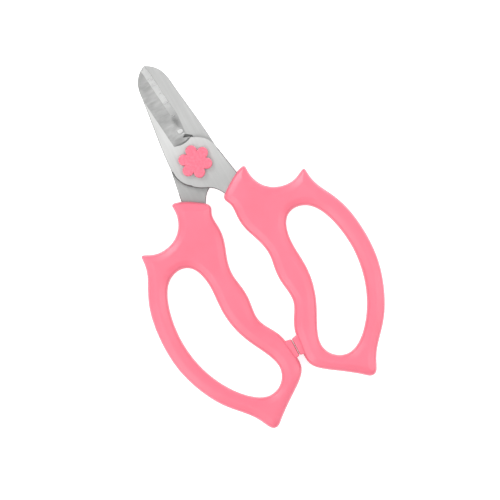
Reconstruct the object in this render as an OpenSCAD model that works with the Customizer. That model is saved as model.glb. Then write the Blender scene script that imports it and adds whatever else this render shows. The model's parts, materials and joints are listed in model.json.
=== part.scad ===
// Floral snips: two ground blades crossing on one screw, each moulded into a looped handle.
// The model is drawn about the pivot, with z = 0 between the blades, and moved once at the end.
// The rear half is the front half turned over about the Y axis.

/* [Blades] */
// Pivot centre to blade tip
blade_reach = 48.6; // [40:0.1:58.4]
// Half the width of the closed blades at their roots
blade_half_w = 10.9; // [9.1:0.1:13]
// Thickness of each blade and its tang
blade_t = 2.8; // [2.3:0.1:3.4]
// Radius of the round boss at the pivot
boss_r = 11.6; // [10:0.1:12.4]
// Radius of the grinding wheel that hollows the bevel
hollow_r = 25; // [20:1:60]
// Width of the hollow-ground bevel
bevel_w = 6; // [5:0.1:6.6]
// Height of the land where the hollow bevel meets the edge bevel
land_h = 0.9; // [0.6:0.1:1.2]
// Distance from the pivot at which the grinding stops
grind_start = 12.6; // [12:0.1:16]

/* [Handles] */
// Length of a handle from its shoulder to its lowest point
handle_len = 110; // [92:1:132]
// Half the width across both closed handles
handle_half_w = 51.8; // [47:0.1:60]
// Thickness of a handle
handle_t = 11; // [9.2:0.1:13.2]
// Radius that rounds a handle's long edges
handle_round = 4.2; // [3:0.1:4.6]
// Height of the stop lugs, less than the handle is thick
lug_h = 8; // [6:0.1:9]
// Gap between the two stop lugs with the blades closed
lug_gap = 0.2; // [0.1:0.05:0.6]
// Diameter of the plastic pegs moulded through the tang
peg_d = 3.2; // [2:0.1:3.8]

/* [Pivot] */
// Diameter of the screw's plain shank
shank_d = 5; // [4.2:0.1:6]
// Radial running clearance of the front blade on the shank
shank_clear = 0.05; // [0.02:0.01:0.1]
// Diameter of the screw's threaded end
thread_d = 4; // [3.3:0.1:4.1]
// How far the flats of the square neck stand out from the shank
neck_step = 0.4; // [0.2:0.1:0.8]
// Diameter of the low head behind the rear blade
head_d = 11; // [9:0.1:13]
// Thickness of the low head
head_h = 1.3; // [0.8:0.1:2]
// Gap between the blades at the pivot
blade_gap = 0.1; // [0.06:0.02:0.2]
// Diameter of the thrust washer let into the rear blade
thrust_d = 13; // [10:0.1:15.6]
// Thickness of the thrust washer
thrust_t = 0.45; // [0.35:0.05:0.6]
// How far the spring washer under the nut stands out past the nut's flats
spring_lip = 0.5; // [0.3:0.05:0.7]
// Thickness of the spring washer
spring_t = 0.35; // [0.2:0.05:0.5]
// Width of the nut across its flats
nut_w = 7; // [6.4:0.1:8.4]
// Thickness of the nut
nut_h = 1.7; // [1.4:0.1:2.4]

/* [Flower cap] */
// Number of petals
petals = 6; // [5:1:8]
// Radius from the pivot to the outside of a petal
cap_r = 7.6; // [7:0.1:9]
// Radius of each petal's round end
petal_r = 2.6; // [2:0.1:3]
// Thickness of plastic over the nut
cap_roof = 0.85; // [0.6:0.05:1.5]

/* [Hidden] */
$fn = 96;

STEEL = "#c9ccca";
PINK = "#fa8ca0";
PLATED = "#b9bcc0";
NYLON = "#e9e6dc";

// Clearances: between faces that slide, and between pieces of one half that only have to fit
slide = 0.05;
fit = 0.05;
over = 1; // how far a cutter runs past the faces it cuts

// Heights above the middle plane between the blades
inner_z = blade_gap / 2;
outer_z = inner_z + blade_t;
thrust_top_z = inner_z - slide;
thrust_z = thrust_top_z - thrust_t;
neck_top_z = thrust_z - 3 * slide;
neck_w = shank_d + 2 * neck_step;
spring_d = nut_w + 2 * spring_lip;
spring_z = outer_z + slide;
nut_z = spring_z + spring_t;
thread_end_z = nut_z + nut_h;
cap_z = outer_z + 2 * slide;
cap_top_z = thread_end_z + fit + cap_roof;

// The grinding line that parts the flat spine from the bevel, as its place beside the pivot
// and its lean towards the spine
grind_x = -4.2;
grind_lean = 5.5;
edge_bevel_w = 3.4;
edge_t = 0.1; // thickness left at the cutting edge
petal_lean = 23.5; // angle of the first petal from +X

// Outlines are cubic splines drawn towards the points listed. They are given for the sizes
// named here and stretched to the sizes above.
drawn_reach = 48.6;
drawn_blade_w = 10.9;
drawn_handle = [51.8, 110];
shoulder_y = -11.5;

SPINE = [[0, 48.6], [-3.1, 46.9], [-5.9, 43.7], [-7.3, 39.5], [-7.6, 34.5], [-8.9, 25],
         [-10, 16.5], [-10.9, 9], [-11.4, 1]];
EDGE = [[4, 10.7], [2.1, 13.4], [2.2, 17.5], [3, 22.5], [2.2, 28], [1.6, 35], [1.2, 41], [0.6, 46]];
TANG = [[-6.6, -9.5], [-3.4, -12], [0.4, -13.2], [2.8, -15.3], [4.9, -18.5], [7.2, -24.5],
        [9.6, -33], [10.4, -42.5], [13.2, -45.6], [15.9, -42.5], [15.9, -33], [15.2, -21],
        [13.9, -12], [12.4, -3.5], [11.4, 2]];
PEGS = [[11.4, -26], [12.9, -38]];

// The finger hole's outline, clockwise from its top
HOLE = [[29.3, -38.5], [35.9, -40.8], [40.2, -47.5], [42.8, -57], [43.8, -67.5], [42.6, -78],
        [39.4, -88.3], [33.8, -98], [27, -105.2], [20, -108.5], [13, -105.6], [9.7, -99],
        [12, -91.6], [16.8, -83.2], [20.3, -74.5], [21.7, -64.5], [20.6, -55], [20.9, -47.3],
        [23.6, -40.6]];

// The handle's outer outline, clockwise from the finger spur. The third number is how far
// round HOLE the section through that point meets the finger hole.
RIM = [[36.5, -27.6, 0.25], [39.5, -25.8, 0.55], [41.7, -25.1, 0.8], [41.6, -28.5, 1.05],
       [42.4, -33.5, 1.35], [45.2, -38.8, 1.7], [48.2, -44.5, 2.1], [50.4, -51.5, 2.7],
       [51.5, -59, 3.35], [51.9, -67, 4.05], [51.4, -75, 4.8], [50, -82, 5.45],
       [47.6, -89, 6.1], [44.4, -96, 6.65], [40.2, -102.5, 7.2], [35, -108, 7.65],
       [31, -112.5, 8], [28.4, -117.2, 8.3], [26.8, -121.2, 8.55], [23.5, -121.9, 8.8],
       [20.5, -118.8, 9.1], [15, -114.6, 9.4], [9.5, -110.8, 9.7], [4.6, -107.3, 10.05],
       [1.8, -103.8, 10.4], [1.3, -99.5, 10.85], [2.2, -94, 11.3], [2.6, -89, 11.8],
       [3.9, -84.5, 12.3], [7.1, -79.6, 12.85], [9.1, -75.5, 13.4], [8.9, -70.5, 13.9],
       [7.9, -65, 14.5], [8.2, -59, 15.1], [9.7, -52.5, 15.65], [8.7, -46, 16.05],
       [6.5, -40.5, 16.3], [4.9, -35.5, 16.5], [4.6, -31, 16.6], [5.1, -26.5, 16.7],
       [4.7, -23.6, 16.8], [2.9, -21, 16.9], [4.6, -18.4, 17], [8, -16.2, 17.1],
       [11.5, -13.8, 17.2], [15.5, -12.1, 17.3], [18.9, -11.2, 17.4], [18.5, -14.5, 17.5],
       [18.8, -18, 17.6], [20.5, -22.2, 17.75], [23.8, -25.8, 18], [28, -27.7, 18.4],
       [32.5, -28.4, 18.85]];

LUG = [[0, -98.2], [0, -89.8], [5, -88.6], [5, -99.4]]; // stop lug, before its gap is taken off

// Sections along each handle per listed point, and rounding steps on each edge of a section
rim_steps = 2;
round_steps = 3;

// Point j of a closed list; the third number keeps growing by turn at each lap
function lap(c, j, turn) = c[(j + len(c)) % len(c)] + turn * floor(j / len(c));
// Point j of an open list, mirrored past its ends so that the curve reaches both of them
function reach(c, j) = j < 0 ? 2 * c[0] - c[1] : j >= len(c) ? 2 * c[j - 1] - c[j - 2] : c[j];
// Uniform cubic spline between b and c
function spline(a, b, c, d, t) =
    (pow(1 - t, 3) * a + (3 * pow(t, 3) - 6 * t * t + 4) * b
     + (-3 * pow(t, 3) + 3 * t * t + 3 * t + 1) * c + pow(t, 3) * d) / 6;
function loop_at(c, u, turn) =
    let (i = floor(u))
    spline(lap(c, i - 1, turn), lap(c, i, turn), lap(c, i + 1, turn), lap(c, i + 2, turn), u - i);
function curve(c, steps) =
    [for (i = [0 : len(c) - 2], k = [0 : i == len(c) - 2 ? steps : steps - 1])
        spline(reach(c, i - 1), c[i], c[i + 1], reach(c, i + 2), k / steps)];

function stretch_blade(c) =
    [for (p = c) [p.x * blade_half_w / drawn_blade_w, p.y * blade_reach / drawn_reach]];
function stretch_handle(p) =
    [p.x * handle_half_w / drawn_handle.x,
     shoulder_y + (p.y - shoulder_y) * handle_len / drawn_handle.y];

// One section of a handle: up the rim, over the top, down into the finger hole and back under
function section(u) =
    let (s = loop_at(RIM, u, [0, 0, len(HOLE)]),
         rim = stretch_handle([s.x, s.y]),
         hole = stretch_handle(loop_at(HOLE, s.z, [0, 0])),
         across = (hole - rim) / norm(hole - rim),
         r = min(handle_round, 0.45 * norm(hole - rim)),
         angles = [for (k = [0 : round_steps]) 90 * k / round_steps])
    concat(
        [for (a = angles) section_point(rim, across, r, a, 1)],
        [for (k = [0 : round_steps]) section_point(hole, -across, r, angles[round_steps - k], 1)],
        [for (k = [1 : round_steps]) section_point(hole, -across, r, angles[k], -1)],
        [for (k = [0 : round_steps - 1]) section_point(rim, across, r, angles[round_steps - k], -1)]);
function section_point(edge, inward, r, a, side) =
    let (p = edge + inward * r * (1 - cos(a)))
    [p.x, p.y, side * (handle_t / 2 - r * (1 - sin(a)))];

sections = len(RIM) * rim_steps;
SECTIONS = [for (k = [0 : sections - 1]) section(k / rim_steps)];
low_y = min([for (s = SECTIONS) s[0].y]);

// The finished part stands on its handles with its box centred on the origin
pivot_at = [0, -(blade_reach + low_y) / 2, handle_t / 2];

module in_place() {
    translate(pivot_at) children();
}

module turned_over() {
    rotate([0, 180, 0]) children();
}

// Everything above the ground surfaces of a blade, in the grinding line's own directions
module grind_cutter() {
    chord = [bevel_w, land_h - blade_t];
    wheel = chord / 2 + [0, blade_t]
        + [-chord.y, chord.x] / norm(chord) * sqrt(pow(hollow_r, 2) - pow(norm(chord) / 2, 2));
    far = 2 * hollow_r;
    translate([grind_x, 0, inner_z]) rotate([0, 0, grind_lean]) translate([0, grind_start, 0]) {
        translate([wheel.x, 0, wheel.y]) rotate([-90, 0, 0]) cylinder(r = hollow_r, h = far);
        rotate([90, 0, 0]) translate([0, 0, -far]) linear_extrude(far)
            polygon([[bevel_w, land_h], [bevel_w + edge_bevel_w, edge_t], [far, edge_t],
                     [far, far], [bevel_w, far]]);
    }
}

module tang() {
    translate([0, 0, inner_z]) difference() {
        linear_extrude(blade_t) polygon(concat(curve(TANG, 3), [[0, 0]]));
        for (p = PEGS) translate([p.x, p.y, -over]) cylinder(d = peg_d, h = blade_t + 2 * over);
    }
}

// One blade with its boss and tang, before the pivot hole
module blade_blank() {
    tang();
    difference() {
        translate([0, 0, inner_z]) linear_extrude(blade_t)
            polygon(concat(curve(stretch_blade(SPINE), 4), [[0, 0]], curve(stretch_blade(EDGE), 4)));
        grind_cutter();
    }
    translate([0, 0, inner_z]) cylinder(r = boss_r, h = blade_t);
}

module front_blade() {
    color(STEEL) in_place() difference() {
        blade_blank();
        translate([0, 0, inner_z - over])
            cylinder(d = shank_d + 2 * shank_clear, h = blade_t + 2 * over);
    }
}

module rear_blade() {
    square_w = neck_w + 2 * fit;
    color(STEEL) in_place() difference() {
        turned_over() blade_blank();
        translate([-square_w / 2, -square_w / 2, -outer_z - over])
            cube([square_w, square_w, blade_t + 2 * over]);
        translate([0, 0, thrust_z]) cylinder(d = thrust_d + 2 * fit, h = thrust_t + over);
    }
}

// A handle moulded round its tang, with the plastic pegs that fill the tang's holes
module handle() {
    ring = len(SECTIONS[0]);
    lug_x = lug_gap / 2;
    difference() {
        union() {
            polyhedron(
                points = [for (s = SECTIONS, p = s) p],
                faces = [for (i = [0 : sections - 1], j = [0 : ring - 1], half = [0, 1])
                    let (n = (i + 1) % sections, m = (j + 1) % ring)
                    half == 0 ? [i * ring + j, n * ring + j, n * ring + m]
                              : [i * ring + j, n * ring + m, i * ring + m]]);
            translate([0, 0, -lug_h / 2]) linear_extrude(lug_h)
                polygon([for (p = LUG) let (q = stretch_handle(p)) [max(q.x, lug_x), q.y]]);
        }
        tang();
    }
}

module right_handle() {
    color(PINK) in_place() handle();
}

module left_handle() {
    color(PINK) in_place() turned_over() handle();
}

module pivot_screw() {
    chamfer = head_h / 2;
    color(PLATED) in_place() {
        rotate_extrude() polygon([[0, -outer_z - head_h], [head_d / 2 - chamfer, -outer_z - head_h],
                                  [head_d / 2, -outer_z - head_h + chamfer],
                                  [head_d / 2, -outer_z], [0, -outer_z]]);
        translate([-neck_w / 2, -neck_w / 2, -outer_z])
            cube([neck_w, neck_w, neck_top_z + outer_z]);
        translate([0, 0, neck_top_z]) cylinder(d = shank_d, h = nut_z - neck_top_z);
        translate([0, 0, nut_z]) cylinder(d = thread_d, h = nut_h);
    }
}

module ring(outer_d, inner_d, h) {
    difference() {
        cylinder(d = outer_d, h = h);
        translate([0, 0, -over]) cylinder(d = inner_d, h = h + 2 * over);
    }
}

module thrust_washer() {
    color(NYLON) in_place() translate([0, 0, thrust_z])
        ring(thrust_d, shank_d + 4 * fit, thrust_t);
}

module spring_washer() {
    color(PLATED) in_place() translate([0, 0, spring_z])
        ring(spring_d, shank_d + 4 * fit, spring_t);
}

module hexagon_prism(across_flats, h) {
    cylinder(d = across_flats / cos(30), h = h, $fn = 6);
}

module pivot_nut() {
    color(PLATED) in_place() translate([0, 0, nut_z]) difference() {
        hexagon_prism(nut_w, nut_h);
        translate([0, 0, -over]) cylinder(d = thread_d + 2 * fit, h = nut_h + 2 * over);
    }
}

// Pressed over the nut, which it hides; it turns with the screw and clears the front blade
module flower_cap() {
    cap_h = cap_top_z - cap_z;
    centre_r = cap_r - petal_r;
    color(PINK) in_place() difference() {
        translate([0, 0, cap_z]) linear_extrude(cap_h) {
            circle(r = centre_r);
            for (k = [0 : petals - 1]) rotate(petal_lean + 360 * k / petals)
                translate([centre_r, 0]) circle(r = petal_r);
        }
        translate([0, 0, cap_z - over]) {
            cylinder(d = spring_d + 2 * fit, h = nut_z - cap_z + over);
            hexagon_prism(nut_w + 2 * fit, thread_end_z + fit - cap_z + over);
        }
    }
}

front_blade();
rear_blade();
right_handle();
left_handle();
pivot_screw();
thrust_washer();
spring_washer();
pivot_nut();
flower_cap();
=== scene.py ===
# %% [markdown]
# # Floral snips
# A pair of small flower-cutting snips: two hollow-ground steel blades crossing on one screw, each
# moulded into a looped plastic handle, with a flower-shaped cap over the nut. The working model,
# with its joint, is loaded first as a fixed frame. The steps after it build the surfaces you see.

# %% Load the working model
import json
import math

import bmesh
import bpy
import numpy as np
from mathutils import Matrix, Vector
from mathutils.geometry import delaunay_2d_cdt

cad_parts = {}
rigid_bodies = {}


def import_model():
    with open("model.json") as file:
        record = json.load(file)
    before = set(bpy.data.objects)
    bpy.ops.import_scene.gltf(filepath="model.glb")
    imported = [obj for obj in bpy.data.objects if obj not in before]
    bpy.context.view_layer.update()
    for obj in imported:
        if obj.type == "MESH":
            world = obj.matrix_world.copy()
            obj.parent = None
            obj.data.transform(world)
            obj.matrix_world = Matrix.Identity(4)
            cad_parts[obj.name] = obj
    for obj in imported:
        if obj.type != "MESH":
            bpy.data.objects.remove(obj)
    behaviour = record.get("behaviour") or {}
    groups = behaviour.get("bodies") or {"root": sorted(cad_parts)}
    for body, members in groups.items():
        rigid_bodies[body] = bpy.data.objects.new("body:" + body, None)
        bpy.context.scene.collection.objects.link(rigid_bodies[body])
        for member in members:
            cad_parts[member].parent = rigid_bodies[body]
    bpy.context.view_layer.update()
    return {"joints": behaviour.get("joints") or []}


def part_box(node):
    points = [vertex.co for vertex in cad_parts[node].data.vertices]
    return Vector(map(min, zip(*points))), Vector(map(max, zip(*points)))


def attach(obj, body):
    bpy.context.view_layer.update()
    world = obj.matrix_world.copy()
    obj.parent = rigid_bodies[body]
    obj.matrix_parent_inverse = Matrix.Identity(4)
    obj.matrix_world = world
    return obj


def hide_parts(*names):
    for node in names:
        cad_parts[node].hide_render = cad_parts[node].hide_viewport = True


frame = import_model()

MM = 0.001
hinge = frame["joints"][0]
PIVOT = np.array(hinge["pos_m"])
FRONT, REAR = hinge["child"], hinge["parent"]
print("pivot at", PIVOT, "front body", FRONT, "rear body", REAR)


# %% [markdown]
# ## Sizes read from the frame
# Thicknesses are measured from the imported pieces, so the surfaces follow the working model if it
# changes. Everything is drawn in millimetres about the pivot and moved to its place in metres
# when its mesh is made, so that each object itself stays at the origin.

# %% Sizes read from the frame
def height_of(node):
    low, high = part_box(node)
    return (low.z - PIVOT[2]) / MM, (high.z - PIVOT[2]) / MM


INNER_Z, OUTER_Z = height_of("front_blade")
HANDLE_HALF = height_of("right_handle")[1]
CAP_LOW, CAP_TOP = height_of("flower_cap")
HEAD_LOW = height_of("pivot_screw")[0]
print(f"blade {INNER_Z:.2f} to {OUTER_Z:.2f} mm, handle half {HANDLE_HALF:.2f} mm")
print(f"cap {CAP_LOW:.2f} to {CAP_TOP:.2f} mm, screw head from {HEAD_LOW:.2f} mm")


# %% [markdown]
# ## Making an object
# One helper turns points and faces into a finished object, kept inside the box of the working
# piece it stands for. Edges between two finishes are marked sharp, so that the shading of one
# doesn't run into the other. `turn_over` makes the rear half from the front half: half a turn
# about the Y axis keeps every face pointing outwards, where a mirror would turn the surface
# inside out.

# %% Making an object
def turn_over(points):
    return np.asarray(points) * (-1, 1, -1)


def crease_between_finishes(mesh):
    shape = bmesh.new()
    shape.from_mesh(mesh)
    for edge in shape.edges:
        if len({face.material_index for face in edge.link_faces}) > 1:
            edge.smooth = False
    shape.to_mesh(mesh)
    shape.free()


def finish_piece(name, mesh, body, replaces, sharp):
    mesh.shade_smooth()
    if sharp:
        mesh.set_sharp_from_angle(angle=math.radians(sharp))
    if len(mesh.materials) > 1:
        crease_between_finishes(mesh)
    mesh.update()
    piece = bpy.data.objects.new(name, mesh)
    bpy.context.scene.collection.objects.link(piece)
    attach(piece, body)
    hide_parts(*replaces)
    print(f"{name}: {len(mesh.vertices)} points, {len(mesh.polygons)} faces")
    return piece


def make_piece(name, points, faces, materials, body, replaces, zones=None, sharp=35):
    boxes = [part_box(node) for node in replaces]
    low = np.min([box[0] for box in boxes], axis=0)
    high = np.max([box[1] for box in boxes], axis=0)
    wanted = np.asarray(points) * MM + PIVOT
    kept = np.clip(wanted, low, high)
    print(f"{name}: trimmed {abs(kept - wanted).max() / MM:.3f} mm to stay in its box")
    mesh = bpy.data.meshes.new(name)
    mesh.from_pydata(kept.tolist(), [], [tuple(map(int, f)) for f in faces])
    for material in materials:
        mesh.materials.append(material)
    if zones is not None:
        mesh.polygons.foreach_set("material_index", np.asarray(zones, dtype=np.int32))
    return finish_piece(name, mesh, body, replaces, sharp)


# %% [markdown]
# ## Splines
# Every outline is a uniform cubic spline drawn towards a few listed points. Such a spline never
# kinks, which matters on glossy plastic, where a kink shows as a broken highlight. A closed loop
# wraps round its list; an open curve mirrors its ends so that it reaches them.

# %% Splines
def spline(a, b, c, d, t):
    t = np.asarray(t)[..., None]
    return (
        (1 - t) ** 3 * a
        + (3 * t**3 - 6 * t**2 + 4) * b
        + (-3 * t**3 + 3 * t**2 + 3 * t + 1) * c
        + t**3 * d
    ) / 6


def around(points, u, turn=0.0):
    points = np.asarray(points, float)
    u = np.asarray(u, float)
    first = np.floor(u).astype(int)

    def lap(j):
        return points[j % len(points)] + np.floor(j / len(points))[..., None] * np.asarray(turn)

    return spline(lap(first - 1), lap(first), lap(first + 1), lap(first + 2), u - first)


def along(points, steps):
    points = np.asarray(points, float)
    ends = np.vstack([2 * points[0] - points[1], points, 2 * points[-1] - points[-2]])
    spans = [
        spline(*ends[i : i + 4], np.arange(steps) / steps) for i in range(len(points) - 1)
    ]
    return np.vstack(spans + [points[-1:]])


# %% [markdown]
# ## Helpers for materials
# Every finish here is a Principled shader fed by noise, which varies its colour, its roughness
# and a faint bump. These helpers each make a node and link it, so that a material below reads as
# a recipe. The noise lies on Object coordinates, because those stay on the piece when it moves,
# where coordinates taken from the world would slide over it.

# %% Helpers for materials
def new_material(name):
    material = bpy.data.materials.new(name)
    material.use_nodes = True
    nodes = material.node_tree.nodes
    nodes.clear()
    output = nodes.new("ShaderNodeOutputMaterial")
    shader = nodes.new("ShaderNodeBsdfPrincipled")
    material.node_tree.links.new(shader.outputs["BSDF"], output.inputs["Surface"])
    return material, shader


def add(material, kind, **sockets):
    node = material.node_tree.nodes.new(kind)
    for name, value in sockets.items():
        node.inputs[name.replace("_", " ")].default_value = value
    return node


def wire(material, source, target):
    material.node_tree.links.new(source, target)


def noise_on(material, scale, stretch=(1, 1, 1), turn=0.0, detail=3.0, rough=0.5):
    place = add(material, "ShaderNodeTexCoord")
    mapping = add(material, "ShaderNodeMapping", Scale=stretch, Rotation=(0, 0, turn))
    noise = add(material, "ShaderNodeTexNoise", Scale=scale, Detail=detail, Roughness=rough)
    wire(material, place.outputs["Object"], mapping.inputs["Vector"])
    wire(material, mapping.outputs["Vector"], noise.inputs["Vector"])
    return noise.outputs["Fac"]


def ramp(material, source, stops):
    node = material.node_tree.nodes.new("ShaderNodeValToRGB")
    elements = node.color_ramp.elements
    while len(elements) < len(stops):
        elements.new(0.5)
    for element, (place, colour) in zip(elements, stops):
        element.position = place
        element.color = (*colour, 1)
    wire(material, source, node.inputs["Fac"])
    return node.outputs["Color"]


def spread(material, source, low, high):
    node = add(material, "ShaderNodeMapRange", To_Min=low, To_Max=high)
    wire(material, source, node.inputs["Value"])
    return node.outputs["Result"]


def bump(material, shader, source, depth, strength=1.0):
    node = add(material, "ShaderNodeBump", Strength=strength, Distance=depth)
    wire(material, source, node.inputs["Height"])
    wire(material, node.outputs["Normal"], shader.inputs["Normal"])
    return node


def vector_math(material, operation, source):
    node = add(material, "ShaderNodeVectorMath")
    node.operation = operation
    wire(material, source, node.inputs[0])
    return node


def object_axis(material, axis):
    place = add(material, "ShaderNodeTexCoord")
    apart = add(material, "ShaderNodeSeparateXYZ")
    wire(material, place.outputs["Object"], apart.inputs["Vector"])
    return apart.outputs[axis]


# %% [markdown]
# ## Plastic: glossy moulded pink
# Injection-moulded plastic is one colour all through, but never quite even: there is faint
# mottling where it flowed, and a very slight orange-peel that breaks up reflections. Shade is
# painted into the handles' colour in two places: along the parting line half way up their sides,
# and on the faces where the stop lugs meet, in the narrow gap between them. Each place is a plane,
# so the distance from it mixes in the darker tint. It could be painted on the surface instead, but
# a plane follows the shape by itself.

# %% Plastic: glossy moulded pink
def painted_shade_near(material, colour, axis, middle, reach, tint):
    offset = add(material, "ShaderNodeMath")
    offset.operation = "SUBTRACT"
    offset.inputs[1].default_value = middle
    wire(material, object_axis(material, axis), offset.inputs[0])
    away = add(material, "ShaderNodeMath")
    away.operation = "ABSOLUTE"
    wire(material, offset.outputs["Value"], away.inputs[0])
    fade = add(material, "ShaderNodeMapRange", From_Min=reach[0] * MM, From_Max=reach[1] * MM)
    wire(material, away.outputs["Value"], fade.inputs["Value"])
    tint_here = ramp(material, fade.outputs["Result"], [(0.0, tint), (1.0, (1, 1, 1))])
    tinted = vector_math(material, "MULTIPLY", colour)
    wire(material, tint_here, tinted.inputs[1])
    return tinted.outputs["Vector"]


# where the painted shade is full and where it has faded, in mm from its plane, and its tint
PARTING_LINE_SHADE = ((0.2, 2.8), (0.74, 0.60, 0.68))
LUG_GAP_SHADE = ((0.15, 0.6), (0.62, 0.08, 0.12))
GLOSS_PATCHES, ORANGE_PEEL, PEEL_DEPTH = 220.0, 900.0, 0.00001


def plastic(name, deep, pale, gloss, grain=45.0, handle=False):
    material, shader = new_material(name)
    mottle = noise_on(material, grain, detail=4.0)
    colour = ramp(material, mottle, [(0.3, deep), (0.7, pale)])
    # painted shade: darker along the parting line of the sides and in the gap between the stop lugs
    if handle:
        colour = painted_shade_near(material, colour, "Z", PIVOT[2], *PARTING_LINE_SHADE)
        colour = painted_shade_near(material, colour, "X", PIVOT[0], *LUG_GAP_SHADE)
    wire(material, colour, shader.inputs["Base Color"])
    wire(material, spread(material, noise_on(material, GLOSS_PATCHES), gloss - 0.05, gloss + 0.07),
         shader.inputs["Roughness"])
    bump(material, shader, noise_on(material, ORANGE_PEEL, detail=2.0), PEEL_DEPTH, 0.35)
    shader.inputs["Subsurface Weight"].default_value = 0.08
    shader.inputs["Subsurface Radius"].default_value = (0.003, 0.001, 0.001)
    shader.inputs["IOR"].default_value = 1.5
    print(f"{name}: {len(material.node_tree.nodes)} nodes")
    return material


HANDLE_PLASTIC = plastic("moulded_pink", (0.72, 0.142, 0.204), (0.76, 0.161, 0.228), 0.36,
                         handle=True)
CAP_PLASTIC = plastic("cap_pink", (0.72, 0.125, 0.190), (0.80, 0.175, 0.245), 0.33, grain=900.0)


# %% [markdown]
# ## Meshing a flat outline
# Blades and handles are both flat outlines with a worked-out height, so they share one mesher. The
# outline, its holes and the lines where the surface changes go to a constrained triangulation,
# which keeps every one of them as a run of edges. Distances to the nearest edge drive the heights.

# %% Meshing a flat outline
def inside(points, loop):
    x, y = points[:, 0], points[:, 1]
    hit = np.zeros(len(points), bool)
    for (ax, ay), (bx, by) in zip(loop, np.roll(loop, -1, axis=0)):
        if ay != by:
            hit ^= ((ay > y) != (by > y)) & (x < (bx - ax) * (y - ay) / (by - ay) + ax)
    return hit


def distance_to(points, loop):
    nearest = np.full(len(points), np.inf)
    for a, d in zip(loop, np.roll(loop, -1, axis=0) - loop):
        t = np.clip(((points - a) @ d) / (d @ d), 0, 1)
        nearest = np.minimum(nearest, np.hypot(*(points - a - t[:, None] * d).T))
    return nearest


def offset_in(loop, amount):
    step = np.roll(loop, -1, axis=0) - np.roll(loop, 1, axis=0)
    step /= np.linalg.norm(step, axis=1)[:, None]
    return loop + np.column_stack([-step[:, 1], step[:, 0]]) * np.reshape(amount, (-1, 1))


def triangulate(loops, lines, loose=()):
    points, edges = [], []
    for run, closed in [(loop, True) for loop in loops] + [(line, False) for line in lines]:
        first = len(points)
        points += [Vector(p) for p in run]
        count = len(run)
        edges += [(first + i, first + (i + 1) % count) for i in range(count - (not closed))]
    points += [Vector(p) for p in loose]
    flat, _, faces, *_ = delaunay_2d_cdt(points, edges, [], 0, 1e-5)
    flat = np.array([tuple(p) for p in flat])
    faces = np.array([f for f in faces if len(f) == 3])
    middle = flat[faces].mean(axis=1)
    keep = inside(middle, loops[0])
    for hole in loops[1:]:
        keep &= ~inside(middle, hole)
    faces = faces[keep]
    a, b, c = (flat[faces[:, k]] for k in range(3))
    area = (b - a)[:, 0] * (c - a)[:, 1] - (b - a)[:, 1] * (c - a)[:, 0]
    faces[area < 0] = faces[area < 0][:, ::-1]
    faces = faces[np.abs(area) > 1e-9]
    used, renumber = np.unique(faces, return_inverse=True)
    return flat[used], renumber.reshape(faces.shape)


def border(faces):
    directed = np.vstack([faces[:, [0, 1]], faces[:, [1, 2]], faces[:, [2, 0]]])
    known = set(map(tuple, directed))
    return sorted((a, b) for a, b in known if (b, a) not in known)


# %% [markdown]
# ## The handle's surface
# The top is flat in the middle, slopes down gently along every edge and then turns a rounded
# corner. Two bevels would meet badly at the spurs, so the height is worked out instead from the
# distance to the nearest edge. Where two edges come close their shoulders meet in a soft ridge by
# themselves, which is just what a moulded handle shows at its tips. Rings of points follow each
# edge and crowd towards it, where the surface curves most; a ring stops where it would run into
# another.

# %% The handle's surface
ROLL_POWER = 2.6  # 2 rolls the corner as a quarter circle, more makes it squarer
CORNER_RINGS, SHOULDER_RINGS = 7, 8


def ring_lines(loops, depth):
    lines = []
    for loop in loops:
        ring = offset_in(loop, depth)
        away = np.min([distance_to(ring, other) for other in loops], axis=0)
        others = [distance_to(ring, other) for other in loops if other is not loop]
        clear = (away > depth - 0.02) & (np.min(others or [away + 9], axis=0) > depth + 0.12)
        run = []
        for point, keep in zip(np.vstack([ring, ring[:1]]), np.append(clear, clear[0])):
            if keep:
                run.append(point)
            elif len(run) > 1:
                lines.append(np.array(run))
            if not keep:
                run = []
        if len(run) > 1:
            lines.append(np.array(run))
    return lines


def moulded_height(depth, half, corner, shoulder, fall, soft):
    slope = fall / shoulder
    rest = shoulder - depth
    bevel = slope * (np.sqrt(rest**2 + soft**2) + rest) / 2
    rim = half - slope * (math.hypot(shoulder, soft) + shoulder) / 2
    turn = 1 - np.clip(depth / corner, 0, 1)
    return half - bevel - rim * (1 - (1 - turn**ROLL_POWER) ** (1 / ROLL_POWER))


def pillow(loops, half, corner, shoulder, fall, soft):
    near = corner * (1 - np.cos(np.linspace(0, math.pi / 2, CORNER_RINGS + 1)[1:]))
    far = np.linspace(corner, shoulder + 2 * soft, SHOULDER_RINGS + 1)[1:]
    lines = [line for depth in (*near, *far) for line in ring_lines(loops, depth)]
    flat, faces = triangulate(loops, lines)
    away = np.array([distance_to(flat, loop) for loop in loops])
    depth = -soft * np.log(np.exp(-away / soft).sum(axis=0))
    edge = away.min(axis=0)
    depth = np.where(edge < 1e-4, 0, np.clip(depth, 0, edge))
    return two_sided(flat, faces, moulded_height(depth, half, corner, shoulder, fall, soft))


def two_sided(flat, faces, height):
    on_border = np.zeros(len(flat), bool)
    on_border[np.unique(border(faces))] = True
    height = np.where(on_border, 0, height)
    under = np.arange(len(flat))
    under[~on_border] = len(flat) + np.arange((~on_border).sum())
    points = np.vstack([np.column_stack([flat, height]),
                        np.column_stack([flat, -height])[~on_border]])
    return points, [tuple(f) for f in faces] + [tuple(f) for f in under[faces[:, ::-1]]]


# %% [markdown]
# ## The handle's outline
# `RIM` walks round the outside of the right handle from the finger spur and `HOLE` round its
# finger hole. A spline smooths both, so a few points shape a whole bar, and moving one point
# bends the bar gently. The stop lug is a small block on the inner bar: it has straight sides and
# rounded corners instead.

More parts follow.
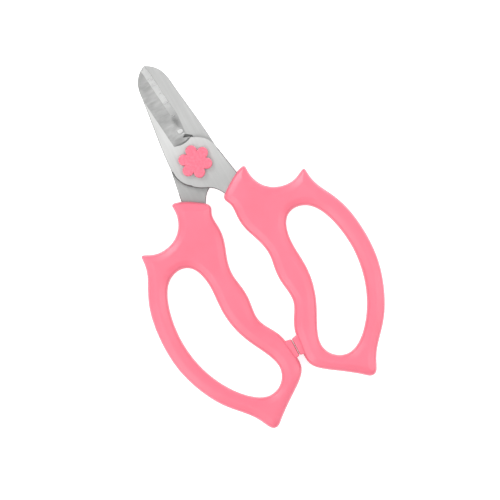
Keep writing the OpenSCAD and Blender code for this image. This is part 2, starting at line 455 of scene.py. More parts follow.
# %% The handle's outline
HOLE = [
    (29.3, -38.5), (35.9, -40.8), (40.2, -47.5), (42.8, -57), (43.8, -67.5), (42.6, -78),
    (39.4, -88.3), (33.8, -98), (27, -105.2), (20, -108.5), (13, -105.6), (9.7, -99),
    (12, -91.6), (16.8, -83.2), (20.3, -74.5), (21.7, -64.5), (20.6, -55), (20.9, -47.3),
    (23.6, -40.6),
]
RIM = [
    (36.5, -27.6), (39.5, -25.8), (41.7, -25.1), (41.6, -28.5), (42.4, -33.5), (45.2, -38.8),
    (48.2, -44.5), (50.4, -51.5), (51.5, -59), (51.9, -67), (51.4, -75), (50, -82),
    (47.6, -89), (44.4, -96), (40.2, -102.5), (35, -108), (31, -112.5), (28.4, -117.2),
    (26.8, -121.2), (23.5, -121.9), (20.5, -118.8), (15, -114.6), (9.5, -110.8),
    (4.6, -107.3), (1.8, -103.8), (1.3, -99.5), (2.2, -94), (2.6, -89), (3.9, -84.5),
    (7.1, -79.6), (9.1, -75.5), (8.9, -70.5), (7.9, -65), (8.2, -59), (9.7, -52.5),
    (8.7, -46), (6.5, -40.5), (4.9, -35.5), (4.6, -31), (5.1, -26.5), (4.7, -23.6),
    (2.9, -21), (4.6, -18.4), (8, -16.2), (11.5, -13.8), (15.5, -12.1), (18.9, -11.2),
    (18.5, -14.5), (18.8, -18), (20.5, -22.2), (23.8, -25.8), (28, -27.7), (32.5, -28.4),
]
LUG = [(0.1, -98.1), (0.1, -89.9), (5.2, -88.8), (5.2, -99.2)]
LUG_CORNER = 0.7


def closed_curve(points, steps):
    return around(points, np.arange(len(points) * steps) / steps)[::-1]


def rounded_corners(corners, radius, steps=6):
    corners = np.asarray(corners, float)
    line = []
    each_before, each_after = np.roll(corners, 1, axis=0), np.roll(corners, -1, axis=0)
    for before, here, after in zip(each_before, corners, each_after):
        a = here + (before - here) / np.linalg.norm(before - here) * radius
        b = here + (after - here) / np.linalg.norm(after - here) * radius
        for t in np.linspace(0, 1, steps):
            line.append((1 - t) ** 2 * a + 2 * t * (1 - t) * here + t**2 * b)
    return np.array(line)[::-1]


rim, hole = closed_curve(RIM, 10), closed_curve(HOLE, 22)[::-1]
lug = rounded_corners(LUG, LUG_CORNER)
print("handle {:.1f} by {:.1f} mm".format(*np.ptp(rim, axis=0)))
print("finger hole {:.1f} by {:.1f} mm".format(*np.ptp(hole, axis=0)))


# %% [markdown]
# ## The two grips
# One section serves the whole handle: how wide the corner is rolled, how wide the shoulder slopes,
# how far it falls and how soft its crease is. The lug is thinner and has a tighter roll. It is
# moulded in one with the handle, so its shell runs into the bar and is part of the same piece.
# The left grip is the right one turned over.

# %% The two grips
# rounded corner, width of the sloping shoulder, how far it falls, softness of its top crease
HANDLE_SECTION = (1.4, 3.7, 1.25, 0.4)
LUG_SECTION = (0.35, 0.8, 0.25, 0.12)
LUG_HALF = 4.0
handle_points, handle_faces = pillow([rim, hole], HANDLE_HALF, *HANDLE_SECTION)
lug_points, lug_faces = pillow([lug], LUG_HALF, *LUG_SECTION)
grip_points = np.vstack([handle_points, lug_points])
grip_faces = handle_faces + [tuple(i + len(handle_points) for i in f) for f in lug_faces]
make_piece("right_grip", grip_points, grip_faces, [HANDLE_PLASTIC], FRONT,
           ["right_handle"], sharp=None)
make_piece("left_grip", turn_over(grip_points), grip_faces, [HANDLE_PLASTIC], REAR,
           ["left_handle"], sharp=None)


# %% [markdown]
# ## Steel: one recipe
# A tool leaves fine lines in steel, and noise stretched in one direction looks like them. The
# same noise drives the colour, the roughness and the bump, so that a line is dark and deep in
# the same place, as a real scratch is. Broad clouds are mixed in, because no rubbed face is
# quite even. A finish can also carry painted shade that darkens it along the blade, or a painted
# dark reflection round a spot: both only scale the colour by how far along the blade a point
# lies or how far it is from a spot.

# %% Steel: one recipe
UNEVEN_SCALE, UNEVEN_SHARE, MARK_DEPTH = 90.0, 0.35, 0.000012


def steel(name, dark, light, gloss, lines, turn=0.0, depth=0.3, scale=260.0, painted_fade=None, painted_dark=None):
    material, shader = new_material(name)
    marks = noise_on(material, scale, lines, turn, detail=6.0, rough=0.6)
    clouds = noise_on(material, UNEVEN_SCALE)
    both = add(material, "ShaderNodeMix", Factor=UNEVEN_SHARE)
    wire(material, marks, both.inputs["A"])
    wire(material, clouds, both.inputs["B"])
    colour = ramp(material, both.outputs["Result"], [(0.3, dark), (0.7, light)])
    # painted shade along the blade, and a painted dark reflection round a spot
    if painted_fade:
        colour = shade_along_blade(material, colour, *painted_fade)
    if painted_dark:
        colour = dark_reflection_spot(material, colour, *painted_dark)
    wire(material, colour, shader.inputs["Base Color"])
    wire(material, spread(material, marks, gloss - 0.05, gloss + 0.07), shader.inputs["Roughness"])
    bump(material, shader, marks, MARK_DEPTH, depth)
    shader.inputs["Metallic"].default_value = 1.0
    print(f"{name}: {len(material.node_tree.nodes)} nodes")
    return material


def darkened(material, colour, share):
    node = vector_math(material, "SCALE", colour)
    wire(material, share, node.inputs["Scale"])
    return node.outputs["Vector"]


# painted shade: darkens the colour towards one end of the blade
def shade_along_blade(material, colour, share, darkest_y, bright_y):
    how_far = add(material, "ShaderNodeMapRange", From_Min=PIVOT[1] + darkest_y * MM,
                  From_Max=PIVOT[1] + bright_y * MM, To_Min=share, To_Max=1.0)
    wire(material, object_axis(material, "Y"), how_far.inputs["Value"])
    return darkened(material, colour, how_far.outputs["Result"])


# painted dark reflection: darkens the colour round a spot
def dark_reflection_spot(material, colour, centre, half_size, share):
    x, y = PIVOT[0] + centre[0] * MM, PIVOT[1] + centre[1] * MM
    a, b = half_size[0] * MM, half_size[1] * MM
    place = add(material, "ShaderNodeTexCoord")
    fit = add(material, "ShaderNodeMapping", Location=(-x / a, -y / b, 0), Scale=(1 / a, 1 / b, 0))
    wire(material, place.outputs["Object"], fit.inputs["Vector"])
    away = vector_math(material, "LENGTH", fit.outputs["Vector"])
    fade = add(material, "ShaderNodeMapRange", From_Min=0.3, From_Max=1.0, To_Min=share, To_Max=1.0)
    wire(material, away.outputs["Value"], fade.inputs["Value"])
    return darkened(material, colour, fade.outputs["Result"])


def grey(value):
    return (value, value * 1.005, value * 0.995)


# %% [markdown]
# ## Steel: six finishes on one blade
# The blade is one steel, but each face was finished differently. The flat faces are satin, with
# fine lines along the blade, and painted shade darkens them towards the tang. The hollow is left
# as the grinding wheel cut it, duller, with marks across the blade, and so is its run-out, which
# is darker still, partly as painted shade of its climb. The edge bevel is stoned bright; a painted
# darkening stands in for its reflection falling off towards the heel, and a painted dark
# reflection lies over the heel of the hollow and the edge. The inner face is darker, with painted
# shade towards the tang, and the sheared sides are darkest; their colour also paints the shadow
# lines round the boss and under the notch. Only the direction, scale and strength change.

# %% Steel: six finishes on one blade
GRIND_LEAN = math.radians(5.5)
ACROSS, ALONG = (0.10, 1.0, 1.0), (1.0, 0.06, 1.0)
# painted dark reflection at the heel: centre, half size and share of the colour left at its middle,
# in mm
HEEL_PAINTED_REFLECTION = ((0.7, 19.9), (1.8, 3.4), 0.66)
# painted shade: flat and inner faces darken towards the tang, the edge bevel towards the heel
FLAT_STEEL = steel("satin_flat", grey(0.53), grey(0.62), 0.46, ALONG, depth=0.2, scale=700.0,
                   painted_fade=(0.72, -13.0, 14.0))
HOLLOW_STEEL = steel("wheel_ground", grey(0.33), grey(0.53), 0.38, ACROSS, -GRIND_LEAN, 0.5, 620.0,
                     painted_dark=HEEL_PAINTED_REFLECTION)
EDGE_STEEL = steel("stoned_edge", grey(0.78), grey(0.86), 0.28, ACROSS, -GRIND_LEAN, 0.15, 900.0,
                   painted_fade=(0.62, 21.0, 31.0), painted_dark=HEEL_PAINTED_REFLECTION)
INNER_STEEL = steel("inner_face", grey(0.41), grey(0.49), 0.46, ALONG, depth=0.25, scale=700.0,
                    painted_fade=(0.76, -13.0, 8.0))
# sheared sides, whose dark colour also paints shadow lines round the boss and under the notch
SIDE_AND_SHADOW_STEEL = steel("sheared_side_and_painted_shadow", grey(0.09), grey(0.17), 0.45, (1.0, 1.0, 0.1), scale=500.0)
# wheel-ground run-out, darker than the hollow partly as painted shade of its climb
RUN_OUT_STEEL = steel("run_out", grey(0.27), grey(0.47), 0.42, ACROSS, -GRIND_LEAN, 0.5, 620.0)
BLADE_FINISHES = [FLAT_STEEL, HOLLOW_STEEL, EDGE_STEEL, INNER_STEEL, SIDE_AND_SHADOW_STEEL, RUN_OUT_STEEL]
ON_FLAT, ON_HOLLOW, ON_EDGE, ON_INNER, ON_SIDE_AND_SHADOW, ON_RUN_OUT = range(6)


# %% [markdown]
# ## The blade's outline
# One outline runs from the tip down the spine, round the boss, along the tang inside the handle
# and back round the boss to the cutting edge, with the small notch where the edge stops short
# of the boss. The arcs of the boss are drawn from the end of one spline to the start of the next.
# Each run has its own width of rolled edge; the cutting edge has none.

# %% The blade's outline
SPINE = [(0, 48.6), (-3.1, 46.9), (-5.9, 43.7), (-7.3, 39.5), (-7.6, 34.5), (-8.9, 25),
         (-10, 16.5), (-10.9, 9), (-11.4, 1)]
TANG = [(-6.5, -9.2), (-3.4, -11.8), (0.4, -13.2), (2.8, -15.3), (4.9, -18.5), (7.2, -24.5),
        (9.6, -33), (10.4, -42.5), (13.2, -45.6), (15.9, -42.5), (15.9, -33), (15.2, -21),
        (13.9, -12), (12.4, -3.5), (11.4, 2)]
EDGE = [(4, 10.3), (3.4, 10.9), (2.4, 11.5), (0.2, 12.0), (0.2, 12.4), (1.9, 12.9), (2.1, 15),
        (2.3, 18), (3, 22.5), (2.2, 28), (1.6, 35), (1.2, 41), (0.6, 46), (0, 48.6)]


def arc_between(start, end, steps):
    a, b = (math.atan2(p[1], p[0]) for p in (start, end))
    b += 2 * math.pi * (b < a)
    turn = np.linspace(a, b, steps + 2)[1:-1]
    radius = np.linspace(math.hypot(*start), math.hypot(*end), steps + 2)[1:-1]
    return np.column_stack([radius * np.cos(turn), radius * np.sin(turn)])


def blade_outline():
    spine, tang, edge = along(SPINE, 16), along(TANG, 10), along(EDGE, 14)
    parts = [
        # the wide roll round the boss's lower arc carries its painted shadow line
        (spine, 0.25), (arc_between(spine[-1], tang[0], 24), 0.55), (tang, 0.3),
        (arc_between(tang[-1], edge[0], 24), 0.1), (edge[:-1], 0.0),
    ]
    outline = np.vstack([line for line, _ in parts])
    return outline, np.concatenate([np.full(len(line), bevel) for line, bevel in parts])


outline, edge_break = blade_outline()
print(f"blade outline: {len(outline)} points")


# %% [markdown]
# ## The ground surfaces
# Height is a rule, as it was for the grinder. From the grinding line the wheel hollows the bevel
# as a shallow arc; past the land the stone cuts a flat edge bevel; near the boss the wheel's
# rim leaves a run-out, which starts almost level and then climbs to full thickness. A small
# level block is left at the heel, with rounded corners so that it catches the light as a soft
# spot. The faces could be cut by a boolean instead, but a rule leaves clean edges where they meet.

# %% The ground surfaces
GRIND_X = -4.2
HOLLOW_R, HOLLOW_W, LAND = 25.0, 6.5, 0.9
EDGE_W, EDGE_LEFT = 2.9, 0.1
THICK = OUTER_Z - INNER_Z
GRIND_END = [(-9, 12.4), (-4.7, 13.1), (-1.3, 14.2), (2.4, 14.3), (6, 14.2)]
BOSS_EDGE = [(-9, 11.2), (-4.9, 10.2), (-2.2, 9.4), (0.4, 9.5), (2.2, 10.1), (4.2, 10.9), (6, 11)]
# share of the way from the end of the hollow to the boss, and share of the climb made there
RUN_OUT = [(0, 0), (0.08, 0.02), (0.2, 0.0), (0.84, 0.34), (0.95, 0.7), (1, 1)]
# a small level block at the heel of the edge bevel
HEEL_CENTRE, HEEL_HALF, HEEL_LEVEL, HEEL_ROUND = (0.5, 15.3), (1.2, 0.8), 1.05, 0.6


def on_line(points, x):
    line = along(points, 12)
    return np.interp(x, line[:, 0], line[:, 1])


def across_along(x, y):
    c, s = math.cos(GRIND_LEAN), math.sin(GRIND_LEAN)
    return (x - GRIND_X) * c + y * s, -(x - GRIND_X) * s + y * c


def wheel_height(s):
    chord = np.array([HOLLOW_W, LAND - THICK])
    length = np.linalg.norm(chord)
    square = np.array([-chord[1], chord[0]]) / length
    centre = chord / 2 + (0, THICK) + square * math.sqrt(HOLLOW_R**2 - length**2 / 4)
    return centre[1] - np.sqrt(np.maximum(HOLLOW_R**2 - (s - centre[0]) ** 2, 0))


def bevel_height(s):
    hollow = wheel_height(np.clip(s, 0, HOLLOW_W))
    edge = LAND + (EDGE_LEFT - LAND) * (s - HOLLOW_W) / EDGE_W
    height = np.where(s < HOLLOW_W, hollow, np.maximum(edge, EDGE_LEFT))
    return np.maximum(height, EDGE_LEFT)


def blade_height(points):
    x, y = points[:, 0], points[:, 1]
    s, _ = across_along(x, y)
    low = bevel_height(s)
    top, foot = on_line(BOSS_EDGE, x), on_line(GRIND_END, x)
    climb = np.interp((foot - y) / (foot - top), *zip(*RUN_OUT))
    low = np.where(in_heel_block(points), HEEL_LEVEL, low)
    ground = (s > 0) & (y > top)
    return np.where(ground, np.minimum(low + (THICK - low) * climb, THICK), THICK)


def heel_block():
    turn = np.linspace(0, 2 * math.pi, 25)
    x, y = np.cos(turn), np.sin(turn)
    corner = np.column_stack([np.sign(x) * abs(x) ** HEEL_ROUND, np.sign(y) * abs(y) ** HEEL_ROUND])
    return corner * HEEL_HALF + HEEL_CENTRE


def in_heel_block(points):
    away = abs(points - HEEL_CENTRE) / HEEL_HALF
    return (away ** (2 / HEEL_ROUND)).sum(axis=1) <= 1.001


deepest = (THICK + LAND) / 2 - wheel_height(HOLLOW_W / 2)
print(f"blade {THICK:.2f} mm thick, wheel hollow {deepest:.2f} mm deep")


# %% [markdown]
# ## Where each finish lies
# A finish ends where its surface ends, so the same lines decide both: the grinding line, the
# land, the start of the run-out and the boss. Each triangle is given the finish found at its
# middle. On the inner face only a painted shadow is marked, where the other blade's notch lies over
# it.

# %% Where each finish lies
# share of the way across the run-out at which its own finish starts
RUN_OUT_FINISH = 0.2
# painted shadow on the inner face, under the other blade's notch
NOTCH_PAINTED_SHADOW = np.array([(-0.1, 11.6), (-0.1, 12.9), (-2.2, 13.0), (-4.6, 11.2), (-4.2, 9.9)])


def blade_zone(points):
    x, y = points[:, 0], points[:, 1]
    s, _ = across_along(x, y)
    ground = (s > 0) & (y > on_line(BOSS_EDGE, x))
    ground_finish = np.where(s > HOLLOW_W, ON_EDGE, ON_HOLLOW)
    foot = on_line(GRIND_END, x)
    run_out = y < foot - RUN_OUT_FINISH * (foot - on_line(BOSS_EDGE, x))
    ground_finish = np.where(run_out, ON_RUN_OUT, ground_finish)
    ground_finish = np.where(in_heel_block(points), ON_FLAT, ground_finish)
    return np.where(ground, ground_finish, ON_FLAT)


# %% [markdown]
# ## Meshing the blade
# The outline, the holes and the lines where finishes meet are handed to a constrained
# triangulation, which keeps every one of them as a run of edges, so creases stay crisp. A grid of
# points in the ground area gives the hollow enough facets to look curved. The top is lifted by
# the height rule, its outer edge is rolled down a little, a copy makes the flat inner face, and
# walls close the two. The rolled edge takes the darker run-out steel along the spine, and round
# the boss and tang it is painted dark as a shadow line.

# %% Meshing the blade
# the grid of loose points: its reach across and along the blade, and its step
GRID_X, GRID_Y, GRID_STEP = (-9, 5), (9, 48.6), 0.45
ROLL_SLOPE, ROLLED_FROM, FULL_FROM = 0.7, 0.05, 0.3
# the rolled edge is painted dark as shade from here down, on the outer face and on the inner one
SPINE_FOOT, BOSS_FOOT = 1, -9
# shares of the run-out at which a line of points crosses it
CLIMB_LINES = (0, 0.08, 0.2, 0.36, 0.52, 0.68, 0.84, 0.95, 1)


def edge_drop(points):
    drop = np.zeros(len(points))
    nearest = np.full(len(points), np.inf)
    for a, b, bevel in zip(outline, np.roll(outline, -1, axis=0), edge_break):
        d = b - a
        t = np.clip(((points - a) @ d) / (d @ d), 0, 1)
        away = np.hypot(*(points - a - t[:, None] * d).T)
        closer = away < nearest
        nearest[closer] = away[closer]
        drop[closer] = np.maximum(bevel - away[closer], 0) * ROLL_SLOPE
    return drop


def closed_slab(flat, faces, top, bottom, zones, under_zones):
    count = len(flat)
    points = np.vstack([np.column_stack([flat, top]), np.column_stack([flat, bottom])])
    walls = [(a + count, b + count, b, a) for a, b in border(faces)]
    under = [tuple(f) for f in faces[:, ::-1] + count]
    zones = np.concatenate([zones, under_zones, np.full(len(walls), ON_SIDE_AND_SHADOW)])
    return points, [tuple(f) for f in faces] + under + walls, zones


def blade_mesh(pivot_hole):
    x, y = np.meshgrid(np.arange(*GRID_X, GRID_STEP), np.arange(*GRID_Y, GRID_STEP))
    grid = np.column_stack([x.ravel(), y.ravel()])
    s, _ = across_along(*grid.T)
    away = distance_to(grid, outline)
    grid = grid[inside(grid, outline) & (s > 0.25) & (away > 0.3) & (abs(s - HOLLOW_W) > 0.2)
                & (grid[:, 1] > on_line(GRIND_END, grid[:, 0]) + 0.2)]
    reach = np.linspace(8, 50, 60)
    c, n = math.cos(GRIND_LEAN), math.sin(GRIND_LEAN)
    ruled = [np.column_stack([GRIND_X + w * c - reach * n, w * n + reach * c])
             for w in (0, HOLLOW_W)]
    sweep = np.linspace(-5.4, 4.6, 40)
    climbs = [
        np.column_stack([sweep, on_line(GRIND_END, sweep) * (1 - q) + on_line(BOSS_EDGE, sweep) * q])
        for q in CLIMB_LINES
    ]
    climbs = [line[(across_along(*line.T)[0] > 0)] for line in climbs]
    broken = offset_in(outline, edge_break)[edge_break > 0]
    painted_dark = np.vstack([NOTCH_PAINTED_SHADOW, NOTCH_PAINTED_SHADOW[:1]])
    flat, faces = triangulate([outline, *pivot_hole],
                              ruled + climbs + [broken, heel_block(), painted_dark], grid)
    top = blade_height(flat)
    drop = edge_drop(flat)
    rolled = drop[faces].max(axis=1) > ROLLED_FROM
    below = flat[:, 1] < BOSS_FOOT
    bottom = INNER_Z + np.where(below, drop, 0)
    top = INNER_Z + np.where(top > THICK - FULL_FROM, np.maximum(top - drop, EDGE_LEFT), top)
    middle = flat[faces].mean(axis=1)
    zones = np.where(rolled, ON_RUN_OUT, blade_zone(middle))
    # painted shadow: round the boss and tang the rolled top edge takes the darkest steel
    zones = np.where(rolled & (middle[:, 1] < SPINE_FOOT), ON_SIDE_AND_SHADOW, zones)
    # painted shadow: the rolled under-edge of the tang and the patch under the notch take the
    # darkest steel
    dark = (rolled & (middle[:, 1] < BOSS_FOOT)) | inside(middle, NOTCH_PAINTED_SHADOW)
    under_zones = np.where(dark, ON_SIDE_AND_SHADOW, np.where(rolled, ON_RUN_OUT, ON_INNER))
    return closed_slab(flat, faces, top, bottom, zones, under_zones)


# %% [markdown]
# ## The two blades
# The front blade has a round hole, because it turns on the screw's smooth shank. The rear blade
# has a square one, which holds the screw's neck and keeps the screw from turning as well. The two
# small holes in each tang are for the pegs of plastic that lock it in its handle.

# %% The two blades
PEG_HOLE_D, SHANK_HOLE_D, HALF_NECK = 3.2, 5.1, 2.95


def round_hole(centre, diameter, steps=32):
    turn = np.arange(steps) / steps * 2 * math.pi
    return np.column_stack([np.cos(turn), np.sin(turn)]) * diameter / 2 + centre


PEG_HOLES = [round_hole(centre, PEG_HOLE_D) for centre in ((11.4, -26), (12.9, -38))]
SHANK_HOLE = round_hole((0, 0), SHANK_HOLE_D, 64)
NECK_HOLE = np.array([(-1, -1), (1, -1), (1, 1), (-1, 1)]) * HALF_NECK
points, faces, zones = blade_mesh([SHANK_HOLE, *PEG_HOLES])
make_piece("front_blade_steel", points, faces, BLADE_FINISHES, FRONT,
           ["front_blade"], zones, sharp=9)
points, faces, zones = blade_mesh([NECK_HOLE, *PEG_HOLES])
make_piece("rear_blade_steel", turn_over(points), faces, BLADE_FINISHES, REAR,
           ["rear_blade"], zones, sharp=9)


# %% [markdown]
# ## The flower cap's grid
# The cap is a shallow moulding with six petals, hollow below to hold the nut. It is laid out as a
# lathe grid, as if it were turned: over the top, round the rolled edge, down the side and up
# into the hollow. Each point only carries what it needs to find its place later: its turn round
# the axis, how much it follows the flower, how far it lies inside it, and its height.

# %% The flower cap's grid
CAP_EDGE, CAP_CROWN, CAP_ROOF, CAP_FOOT, CAVITY_R = 0.75, 0.2, 0.85, 0.15, 4.08
CAP_SKIRT = 1.2  # height of the ring of points half way up the side
# what each point of the grid carries: its turn, then one row of cap_rows
GRID_VALUES = ("turn", "follows", "inset", "plain", "rise")


def cap_rows():
    rows = [(f, CAP_EDGE, 0, CAP_TOP - CAP_CROWN * f**3) for f in (0, 0.25, 0.5, 0.7, 0.85, 1)]
    shoulder = CAP_TOP - CAP_CROWN
    for a in np.radians([15, 30, 45, 60, 75, 90]):
        rows.append((1, CAP_EDGE * (1 - math.sin(a)), 0, shoulder - CAP_EDGE * (1 - math.cos(a))))
    roof = CAP_TOP - CAP_ROOF
    wall = [(1, 0, 0, CAP_LOW + CAP_SKIRT), (1, 0, 0, CAP_LOW + CAP_FOOT), (1, CAP_FOOT, 0, CAP_LOW)]
    cavity = [(0, 0, CAVITY_R, CAP_LOW), (0, 0, CAVITY_R, roof), (0, 0, 0, roof)]
    return rows + wall + cavity


def lathe_grid(rows, turns):
    mesh = bpy.data.meshes.new("cap_grid")
    angle = np.linspace(0, 2 * math.pi, turns + 1)
    data = np.array([(turn, *row) for row in rows for turn in angle])
    faces = []
    for r in range(len(rows) - 1):
        for c in range(turns):
            here = r * (turns + 1) + c
            faces.append((here, here + turns + 1, here + turns + 2, here + 1))
    mesh.from_pydata([(0, 0, 0)] * len(data), [], faces)
    for column, name in enumerate(GRID_VALUES):
        mesh.attributes.new(name, "FLOAT", "POINT").data.foreach_set("value", data[:, column])
    return mesh


print(f"cap grid: {len(cap_rows())} rings of points")


# %% [markdown]
# ## The flower rule
# Every petal is a circle on a circle, so the cap's outline is one rule of the angle, and Geometry
# Nodes can follow it. The tree bends the grid into petals. Where two petals meet, a smooth maximum
# fills the sharp notch, as a mould would. The outline could be modelled petal by petal, but here
# the number of petals or their size takes one named input each.

# %% The flower rule
def flower_rule():
    tree = bpy.data.node_groups.new("flower_rule", "GeometryNodeTree")
    face = tree.interface
    face.new_socket("Geometry", in_out="INPUT", socket_type="NodeSocketGeometry")
    for name in ("Petals", "Cap radius", "Petal radius", "Lean", "Notch softness"):
        face.new_socket(name, in_out="INPUT", socket_type="NodeSocketFloat")
    face.new_socket("Centre", in_out="INPUT", socket_type="NodeSocketVector")
    face.new_socket("Plastic", in_out="INPUT", socket_type="NodeSocketMaterial")
    face.new_socket("Geometry", in_out="OUTPUT", socket_type="NodeSocketGeometry")
    given = tree.nodes.new("NodeGroupInput").outputs

    def link(source, socket):
        if hasattr(source, "is_linked"):
            tree.links.new(source, socket)
        else:
            socket.default_value = source

    def math_node(operation, *values):
        node = tree.nodes.new("ShaderNodeMath")
        node.operation = operation
        for value, socket in zip(values, node.inputs):
            link(value, socket)
        return node.outputs[0]

    def known(name):
        node = tree.nodes.new("GeometryNodeInputNamedAttribute")
        node.data_type = "FLOAT"
        node.inputs["Name"].default_value = name
        return node.outputs["Attribute"]

    def petal_reach(off_axis):
        across = math_node("MULTIPLY", ring, math_node("SINE", off_axis))
        left = math_node("SUBTRACT", math_node("POWER", given["Petal radius"], 2.0),
                         math_node("POWER", across, 2.0))
        along_ring = math_node("MULTIPLY", ring, math_node("COSINE", off_axis))
        return math_node("ADD", along_ring, math_node("SQRT", math_node("MAXIMUM", left, 0.0)))

    step = math_node("DIVIDE", 2 * math.pi, given["Petals"])
    half = math_node("MULTIPLY", step, 0.5)
    ring = math_node("SUBTRACT", given["Cap radius"], given["Petal radius"])
    turned = math_node("SUBTRACT", known("turn"), given["Lean"])
    other_half = math_node("MULTIPLY", half, -1.0)
    off_axis = math_node("ABSOLUTE", math_node("WRAP", turned, half, other_half))
    neighbour = math_node("SUBTRACT", step, off_axis)
    flower = math_node("SMOOTH_MAX", petal_reach(off_axis), petal_reach(neighbour),
                       given["Notch softness"])
    petal = math_node("MULTIPLY", known("follows"), math_node("SUBTRACT", flower, known("inset")))
    radius = math_node("ADD", petal, known("plain"))
    place = tree.nodes.new("ShaderNodeCombineXYZ")
    link(math_node("MULTIPLY", radius, math_node("COSINE", known("turn"))), place.inputs["X"])
    link(math_node("MULTIPLY", radius, math_node("SINE", known("turn"))), place.inputs["Y"])
    link(known("rise"), place.inputs["Z"])
    metres = tree.nodes.new("ShaderNodeVectorMath")
    metres.operation = "MULTIPLY_ADD"
    link(place.outputs["Vector"], metres.inputs[0])
    metres.inputs[1].default_value = (MM, MM, MM)
    link(given["Centre"], metres.inputs[2])

    move = tree.nodes.new("GeometryNodeSetPosition")
    close = tree.nodes.new("GeometryNodeMergeByDistance")
    close.inputs["Distance"].default_value = 1e-6
    real = tree.nodes.new("GeometryNodeRealizeInstances")
    coat = tree.nodes.new("GeometryNodeSetMaterial")
    result = tree.nodes.new("NodeGroupOutput")
    link(given["Geometry"], move.inputs["Geometry"])
    link(metres.outputs["Vector"], move.inputs["Position"])
    link(move.outputs["Geometry"], close.inputs["Geometry"])
    link(close.outputs["Geometry"], real.inputs["Geometry"])
    link(real.outputs["Geometry"], coat.inputs["Geometry"])
    link(given["Plastic"], coat.inputs["Material"])
    link(coat.outputs["Geometry"], result.inputs["Geometry"])
    return tree


# %% [markdown]
# ## Growing the cap
# The tree is hung on the grid as a modifier and its named inputs are set. The evaluated result
# is then taken as a plain mesh and the modifier is removed, so that the finished piece carries
# its own points and nothing is left to work out later.

# %% Growing the cap
CAP_R, PETAL_R, PETALS, PETAL_LEAN = 7.6, 2.55, 6, 23.5
NOTCH_SOFTNESS, CAP_TURNS = 0.9, 240


def grown_mesh(grid, tree, name, **sizes):
    holder = bpy.data.objects.new("cap_grid", grid)
    bpy.context.scene.collection.objects.link(holder)
    grower = holder.modifiers.new("grow", "NODES")
    grower.node_group = tree
    sockets = {item.name: item.identifier for item in tree.interface.items_tree
               if item.in_out == "INPUT"}
    for title, value in sizes.items():
        grower[sockets[title.replace("_", " ")]] = value
    seen = holder.evaluated_get(bpy.context.evaluated_depsgraph_get())
    mesh = bpy.data.meshes.new_from_object(seen)
    mesh.name = name
    holder.modifiers.remove(grower)
    bpy.data.objects.remove(holder)
    for helper in GRID_VALUES:
        if helper in mesh.attributes:
            mesh.attributes.remove(mesh.attributes[helper])
    return mesh


cap_mesh = grown_mesh(
    lathe_grid(cap_rows(), CAP_TURNS), flower_rule(), "flower_cap_shell", Petals=float(PETALS),
    Cap_radius=CAP_R, Petal_radius=PETAL_R, Lean=math.radians(PETAL_LEAN),
    Notch_softness=NOTCH_SOFTNESS, Centre=PIVOT.tolist(), Plastic=CAP_PLASTIC)
finish_piece("flower_cap_shell", cap_mesh, REAR, ["flower_cap"], sharp=35)


# %% [markdown]
# ## The pivot screw
# The screw comes up from the back: a low domed head there, a neck held in the rear blade, a smooth
# shank the front blade turns on, and a thread for the nut. A lathe would turn it from one
# profile, and so does this script: rings of points round the axis, closed by a point at each end.
# The neck is square on the working model; it is out of sight, so here it is turned with the rest.

# %% The pivot screw
NECK_R, SHANK_R, THREAD_R, THREAD_CUT = 2.9, 2.5, 1.95, 0.2
THREADS, PITCH, HEAD_EDGE, DOME_TURN = 4, 0.4, 0.35, 1.2
HEAD_R = (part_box("pivot_screw")[1].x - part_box("pivot_screw")[0].x) / MM / 2
SHANK_FROM = height_of("thrust_washer")[0] - 0.2
THREAD_FROM, THREAD_TO = height_of("pivot_nut")


def lathe(profile, steps):
    turn = np.arange(steps) / steps * 2 * math.pi
    rings = profile[1:-1]
    points = [(0, 0, profile[0][1])]
    points += [(r * math.cos(a), r * math.sin(a), z) for r, z in rings for a in turn]
    points.append((0, 0, profile[-1][1]))
    faces = [(0, 1 + (i + 1) % steps, 1 + i) for i in range(steps)]
    for k in range(len(rings) - 1):
        low, high = 1 + k * steps, 1 + (k + 1) * steps
        faces += [(low + i, low + (i + 1) % steps, high + (i + 1) % steps, high + i)
                  for i in range(steps)]
    last = 1 + (len(rings) - 1) * steps
    faces += [(last + i, last + (i + 1) % steps, len(points) - 1) for i in range(steps)]
    return points, faces


def plated(name, dark, light, gloss):
    material, shader = new_material(name)
    mottle = noise_on(material, 300.0, detail=4.0)
    wire(material, ramp(material, mottle, [(0.3, dark), (0.7, light)]), shader.inputs["Base Color"])
    wire(material, spread(material, noise_on(material, 900.0), gloss, gloss + 0.15),
         shader.inputs["Roughness"])
    bump(material, shader, noise_on(material, 1500.0), 0.000006, 0.3)
    shader.inputs["Metallic"].default_value = 1.0
    return material


def screw_profile():
    seat = -OUTER_Z
    climb = (seat - HEAD_LOW - HEAD_EDGE) / (1 - math.cos(DOME_TURN))
    dome = [(HEAD_R * math.sin(a) / math.sin(DOME_TURN), HEAD_LOW + climb * (1 - math.cos(a)))
            for a in np.linspace(DOME_TURN / 10, DOME_TURN, 12)]
    profile = [(0, HEAD_LOW), *dome, (HEAD_R, seat - 0.05), (HEAD_R - 0.05, seat),
               (NECK_R, seat), (NECK_R, SHANK_FROM), (SHANK_R, SHANK_FROM),
               (SHANK_R, THREAD_FROM), (THREAD_R, THREAD_FROM)]
    for k in range(THREADS):
        low = THREAD_FROM + PITCH * k
        profile += [(THREAD_R, low + PITCH / 4), (THREAD_R - THREAD_CUT, low + PITCH * 3 / 4)]
    return profile + [(1.7, THREAD_TO), (0, THREAD_TO)]


PLATED = plated("plated_steel", grey(0.55), grey(0.66), 0.22)
screw_points, screw_faces = lathe(screw_profile(), 96)
make_piece("domed_pivot_screw", screw_points, screw_faces, [PLATED], REAR,
           ["pivot_screw"])


# %% [markdown]
# ## Washers and nut
# These are hidden between the blades and under the cap, and the working model's own pieces have
# the right shape, so they stay and are only given a finish: plated steel, and pale nylon for the
# washer the blades slide on.

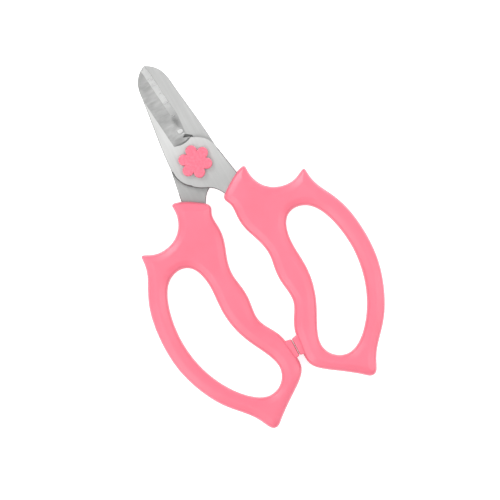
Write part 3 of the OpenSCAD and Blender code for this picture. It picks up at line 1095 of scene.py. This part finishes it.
# %% Washers and nut
NYLON = plastic("washer_nylon", (0.62, 0.62, 0.58), (0.70, 0.70, 0.66), 0.45)
for node, finish in (("thrust_washer", NYLON), ("spring_washer", PLATED), ("pivot_nut", PLATED)):
    coat = bpy.data.objects[node].data.materials
    coat.clear()
    coat.append(finish)
    print(node, "is finished in", finish.name)


# %% [markdown]
# ## Floor and surround
# The snips lie on a pale sheet that glows a little, as on a light table, so that their shadows
# stay faint. A bright even surround fills in the sides, because bare steel shows whatever stands
# round it, and would look black in an empty room.

# %% Floor and surround
FLOOR_HALF, FLOOR_DROP, FLOOR_GLOW = 3.0, 0.0002, 0.75
SURROUND = 0.53


def add_floor():
    mesh = bpy.data.meshes.new("floor")
    corners = [(-1, -1, 0), (1, -1, 0), (1, 1, 0), (-1, 1, 0)]
    mesh.from_pydata([Vector(corner) * FLOOR_HALF for corner in corners], [], [(0, 1, 2, 3)])
    material, shader = new_material("pale_floor")
    tone = noise_on(material, 2.0)
    wire(material, ramp(material, tone, [(0.0, (0.66, 0.66, 0.66)), (1.0, (0.68, 0.68, 0.68))]),
         shader.inputs["Base Color"])
    shader.inputs["Roughness"].default_value = 0.9
    shader.inputs["Emission Color"].default_value = (1, 1, 1, 1)
    shader.inputs["Emission Strength"].default_value = FLOOR_GLOW
    mesh.materials.append(material)
    floor = bpy.data.objects.new("floor", mesh)
    bpy.context.scene.collection.objects.link(floor)
    floor.location.z = -FLOOR_DROP


world = bpy.data.worlds.new("tent")
world.use_nodes = True
surround = world.node_tree.nodes["Background"].inputs
surround["Color"].default_value = (1, 1, 1, 1)
surround["Strength"].default_value = SURROUND
bpy.context.scene.world = world
add_floor()
print(f"floor glows at {FLOOR_GLOW}, surround at {SURROUND}")


# %% [markdown]
# ## Lamps
# One wide lamp hangs overhead, as a studio tent's roof does. A small key lamp beyond the tips
# gives the cap its shadow, two strips at the sides run along the handles as long soft
# highlights, and a low lamp skims the blades. Each is turned to face the middle of the view.

# %% Lamps
VIEW_CENTRE = PIVOT + np.array([2.7, -46.2, 0]) * MM
# place from the middle of the view in metres, size in metres, power in watts
LAMPS = {
    "overhead_tent": ((-0.30, 0.15, 1.3), (1.2, 1.4), 2.0),
    "key_lamp": ((-0.18, 0.60, 0.62), (0.2, 0.2), 3.0),
    "left_strip": ((-0.55, -0.15, 0.55), (0.3, 0.9), 2.8),
    "right_strip": ((0.48, -0.26, 0.58), (0.3, 0.9), 2.4),
    "low_right_lamp": ((0.74, 0.46, 0.28), (0.3, 0.9), 2.4),
}


def add_lamp(name, offset, size, power):
    lamp = bpy.data.lights.new(name, "AREA")
    lamp.shape = "RECTANGLE"
    lamp.size, lamp.size_y = size
    lamp.energy = power
    holder = bpy.data.objects.new(name, lamp)
    holder.location = Vector(VIEW_CENTRE) + Vector(offset)
    towards = Vector(VIEW_CENTRE) - holder.location
    holder.rotation_euler = towards.to_track_quat("-Z", "Y").to_euler()
    bpy.context.scene.collection.objects.link(holder)
    print(f"{name}: {power} W")


for name, (offset, size, power) in LAMPS.items():
    add_lamp(name, offset, size, power)


# %% [markdown]
# ## Camera
# The camera looks straight down, turned so that the blades point up and to the left. It stands far
# away with a long lens, so that both handles are seen squarely from above and hardly any of their
# sides shows. The standard view transform keeps the pink as clean as the plastic is.

# %% Camera
LEAN = math.radians(28.42)
CAMERA_AWAY, FRAME_WIDE, SENSOR = 2.4, 0.2231, 36


def add_camera():
    lens = bpy.data.cameras.new("camera")
    lens.sensor_width = SENSOR
    lens.lens = SENSOR * CAMERA_AWAY / FRAME_WIDE
    print(f"lens {lens.lens:.0f} mm")
    camera = bpy.data.objects.new("camera", lens)
    camera.location = Vector(VIEW_CENTRE) + Vector((0, 0, CAMERA_AWAY))
    camera.rotation_euler = (0, 0, -LEAN)
    bpy.context.scene.collection.objects.link(camera)
    bpy.context.scene.camera = camera


bpy.context.scene.view_settings.view_transform = "Standard"
add_camera()
